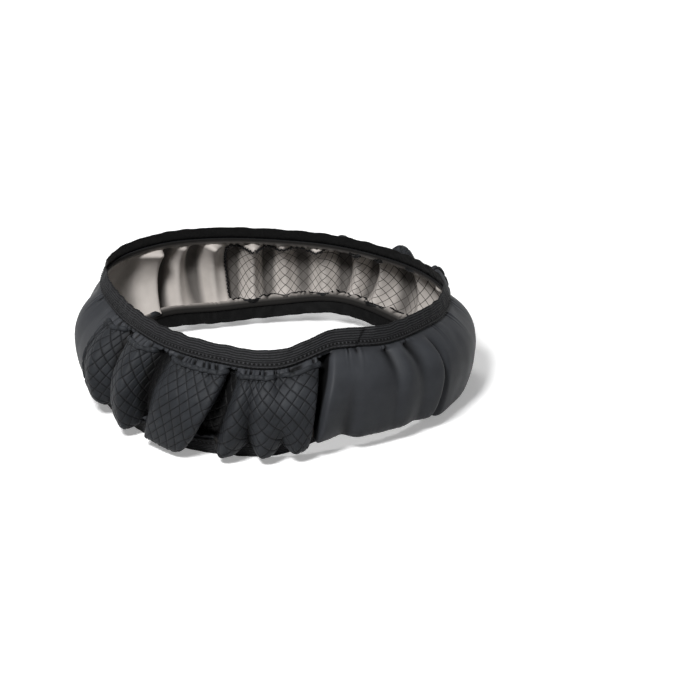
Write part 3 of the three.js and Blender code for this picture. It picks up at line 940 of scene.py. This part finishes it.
def zigzag(name, frame_mm):
    """The zigzag of thick thread that shows on the lining round a pad."""
    path = even_path(frame_mm, ZIGZAG_INSET, ZIGZAG_PITCH)
    forward = np.roll(path, -1, 0) - np.roll(path, 1, 0)
    forward /= np.linalg.norm(forward, axis=1, keepdims=True)
    way = np.where(np.arange(len(path)) % 2 == 0, 0.5, -0.5) * ZIGZAG_WIDTH
    way *= np.random.default_rng(11).uniform(0.75, 1.15, len(path)) * (1 + 0.5 * np.abs(forward[:, 0]))
    path = path + np.stack([-forward[:, 1], forward[:, 0]], axis=-1) * way[:, None]
    points, normals = on_cloth(path, SURFACE, NORMALS)
    tips = points - normals * (BAND_THICKNESS / 2 + 0.3)
    points, faces = stitch_mesh(tips, np.roll(tips, -1, 0), -normals, radius=0.7, arch=0.4)
    return mesh_piece(name, points, faces, [THREAD])


# The elastics

EDGE_LENGTH = 2 * math.pi * EDGE_RADIUS
ELASTIC_STATIONS = 720
ELASTIC_ROWS = 46
RIB_EDGES = np.array([0.03, 0.16, 0.29, 0.42, 0.55, 0.66, 0.84, 0.97])
SEAM_RIB = (0.66, 0.84)  # the rib that the stitches press down
RIB_HEIGHT, FURROW_DEPTH, SEAM_DIP = 0.12, 0.55, 0.2
FURROW_REACH = 0.04  # share of the width
LAP = (-9, -2)  # degrees before a join, over which the upper end rises onto the lower one


def elastic(name, node_name, edge_of, way, join, seed):
    """A loop of ribbed webbing; one end laps over the other and stops on a slant at its join."""
    angle = np.arange(ELASTIC_STATIONS) / ELASTIC_STATIONS * 360
    across = np.linspace(0, 1, ELASTIC_ROWS)
    from_edge = np.abs(across[:, None] - RIB_EDGES[None, :]).min(1)
    furrow = np.exp(-(from_edge / FURROW_REACH) ** 2)
    half = ELASTIC_THICKNESS / 2
    rounding = np.sqrt(np.clip(1 - (np.abs(2 * across - 1)) ** 16, 0, 1))
    front = (half + RIB_HEIGHT - FURROW_DEPTH * furrow) * (0.45 + 0.55 * rounding)
    front -= SEAM_DIP * ((across > SEAM_RIB[0]) & (across < SEAM_RIB[1]))
    back = -(half - 0.1) * (0.45 + 0.55 * rounding)
    section_along = np.concatenate([across, across[::-1]]) * ELASTIC_WIDTH
    section_out = np.concatenate([front, back[::-1]])
    is_front = np.concatenate([np.ones(len(across)), np.zeros(len(across))])
    a = angle[:, None]
    free = 1 - section_along[None, :] / ELASTIC_WIDTH
    ripple = 0.3 * soft_noise(a, free, seed, 42) * free + 0.08 * soft_noise(a, free, seed + 1, 120)
    slant = a - join - 0.3 * (section_along - ELASTIC_WIDTH / 2)[None, :] * way
    off = np.mod(slant + 180, 360) - 180
    lapped = smoothstep(off, *LAP) * (1 - smoothstep(off, -0.2, 0.2)) * is_front[None, :]
    out = section_out[None, :] + lapped * ELASTIC_THICKNESS * 0.8 + ripple
    wave = 0.22 * soft_noise(angle, 0 * angle, seed + 2, 40)[:, None] * free
    radius, height = on_elastic(edge_of(a), way, section_along[None, :] + wave, out)
    points = place(a, radius, height)
    # Painted shade: the rib furrows and the whole inner face go dark, and so does a line along the
    # slanted end at the join.
    painted_row_shade = np.concatenate([0.92 * furrow, np.ones(len(across))])
    groove = np.maximum(painted_row_shade[None, :], np.exp(-((off + 0.1) / 0.35) ** 2) * is_front[None, :])
    if way == UP:
        points, groove = points[:, ::-1], groove[:, ::-1]
        section_along = section_along[::-1]
    sides = len(section_along)
    piece = mesh_piece(name, points.reshape(-1, 3), tube_faces(ELASTIC_STATIONS, sides),
                       [WEBBING])
    add_values(piece.data, "groove", groove)
    around = np.repeat(angle / 360 * EDGE_LENGTH, sides)
    across_mm = np.tile(section_along, ELASTIC_STATIONS)
    set_cloth_uv(piece.data, around, across_mm, EDGE_LENGTH)
    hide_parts(node_name)


def elastic_stitches(name, edge_of, way):
    """The row of stitches that holds an elastic to the band."""
    along = 0.9 * ELASTIC_WIDTH
    count = int(EDGE_LENGTH / STITCH_PITCH)
    angle = np.arange(count) / count * 360
    reach = STITCH_LENGTH * 360 / count
    out = ELASTIC_THICKNESS / 2 + 0.05
    starts = place(angle, *on_elastic(edge_of(angle), way, along, out))
    ends = place(angle + reach, *on_elastic(edge_of(angle + reach), way, along, out))
    normals = place(angle, 1.0, 0.0)
    points, faces = stitch_mesh(starts, ends, normals, radius=0.28, arch=0.3)
    return mesh_piece(name, points, faces, [THREAD])


def sewing(side_name, sheet_piece, frame_mm):
    """A pad's hem and threads, made round its frame."""
    left, right, top, bottom = frame_mm
    roll = hem(side_name + "_pad_hem", frame_mm)
    stitches = topstitch(side_name + "_pad_stitches", frame_mm, HEM_WIDTH + 0.5,
                         BAND_THICKNESS / 2 + LAYER_GAP + PAD_THICKNESS - 0.1)
    zig = zigzag(side_name + "_pad_zigzag", (left, right, top + 2, bottom + 1.5))


band()
front_pad = pad("front_pad_sheet", FRONT_ENDS, "grip_pad_front")
back_pad = pad("back_pad_sheet", BACK_ENDS, "grip_pad_back")
sewing("front", *front_pad)
sewing("back", *back_pad)
elastic("elastic_top_loop", "elastic_top", top_edge, DOWN, TOP_JOIN, 21)
elastic("elastic_bottom_loop", "elastic_bottom", bottom_edge, UP, BOTTOM_JOIN, 22)
elastic_stitches("elastic_top_stitches", top_edge, DOWN)
elastic_stitches("elastic_bottom_stitches", bottom_edge, UP)


# Floor, light and camera

def floor():
    """A white floor that runs up behind the object; it sends little light back at the object."""
    near, back, rise, side = -30.0, 5.0, 4.0, 20.0
    turn = np.radians(np.linspace(0, 90, 13))
    line = [(near, 0.0)] + [(back + math.sin(a), 1 - math.cos(a)) for a in turn] + [(back + 1, rise)]
    points = [(x, y, z) for y, z in line for x in (-side, side)]
    faces = [(2 * k, 2 * k + 1, 2 * k + 3, 2 * k + 2) for k in range(len(line) - 1)]
    mesh = bpy.data.meshes.new("floor")
    mesh.from_pydata(points, [], faces)
    made, nodes, links, shader = material("floor", (0.9, 0.9, 0.9), 0.8)
    path = nodes.new("ShaderNodeLightPath")
    seen = maths(nodes, links, "MAXIMUM", path.outputs["Is Camera Ray"], path.outputs["Is Glossy Ray"])
    shade = nodes.new("ShaderNodeMix")
    shade.data_type = "RGBA"
    shade.inputs[6].default_value = (0.1, 0.1, 0.1, 1)
    shade.inputs[7].default_value = (0.93, 0.93, 0.93, 1)
    links.new(seen, shade.inputs[0])
    links.new(shade.outputs[2], shader.inputs["Base Color"])
    where = nodes.new("ShaderNodeTexCoord").outputs["Object"]
    distance = nodes.new("ShaderNodeVectorMath")
    distance.operation = "LENGTH"
    links.new(where, distance.inputs[0])
    far = nodes.new("ShaderNodeMapRange")
    far.inputs["From Min"].default_value = 0.3
    far.inputs["From Max"].default_value = 1.0
    far.inputs["To Min"].default_value = 0.3
    links.new(distance.outputs["Value"], far.inputs["Value"])
    shader.inputs["Emission Color"].default_value = (1, 1, 1, 1)
    links.new(maths(nodes, links, "MULTIPLY", far.outputs["Result"], seen),
              shader.inputs["Emission Strength"])
    mesh.materials.append(made)
    plane = bpy.data.objects.new("floor", mesh)
    bpy.context.scene.collection.objects.link(plane)


def area_light(name, place_m, size, power):
    """A square lamp that looks at the middle of the ring."""
    light = bpy.data.lights.new(name, "AREA")
    light.shape = "RECTANGLE"
    light.size = light.size_y = size
    light.energy = power
    lamp = bpy.data.objects.new(name, light)
    lamp.location = place_m
    aim = Vector((0, 0, 0.05)) - Vector(place_m)
    lamp.rotation_euler = aim.to_track_quat("-Z", "Y").to_euler()
    bpy.context.scene.collection.objects.link(lamp)


def world():
    made = bpy.data.worlds.new("studio")
    bpy.context.scene.world = made
    made.use_nodes = True
    made.node_tree.nodes["Background"].inputs["Color"].default_value = (1, 1, 1, 1)
    made.node_tree.nodes["Background"].inputs["Strength"].default_value = 0.13


ELEVATION = math.radians(21.5)
DISTANCE = 2.2
LENS, SENSOR = 141.0, 36  # millimetres
IMAGE = 700
CENTRE_PIXEL = (277.0, 340.0)  # where the ring's centre lies in the image
LOOK_HEIGHT = 0.042


def camera():
    data = bpy.data.cameras.new("camera")
    data.lens = LENS
    data.sensor_width = SENSOR
    focal = LENS / SENSOR * IMAGE
    centre = np.array([CENTRE[0], CENTRE[1], LOOK_HEIGHT])
    back = np.array([0, -math.cos(ELEVATION), math.sin(ELEVATION)])
    forward, right = -back, np.array([1.0, 0, 0])
    up = np.cross(right, forward)
    aim = (forward + right * (IMAGE / 2 - CENTRE_PIXEL[0]) / focal
           + up * (CENTRE_PIXEL[1] - IMAGE / 2) / focal)
    eye = bpy.data.objects.new("camera", data)
    eye.location = centre + back * DISTANCE
    eye.rotation_euler = Vector(aim).to_track_quat("-Z", "Y").to_euler()
    bpy.context.scene.collection.objects.link(eye)
    bpy.context.scene.camera = eye


floor()
world()
# Places and sizes in metres, powers in watts.
area_light("key", (-0.42, -1.2, 1.35), 0.4, 42)
area_light("side", (1.3, -0.6, 0.8), 0.6, 0.8)
area_light("top", (-0.2, 0.4, 1.8), 0.6, 8)
camera()
bpy.context.scene.view_settings.view_transform = "Standard"
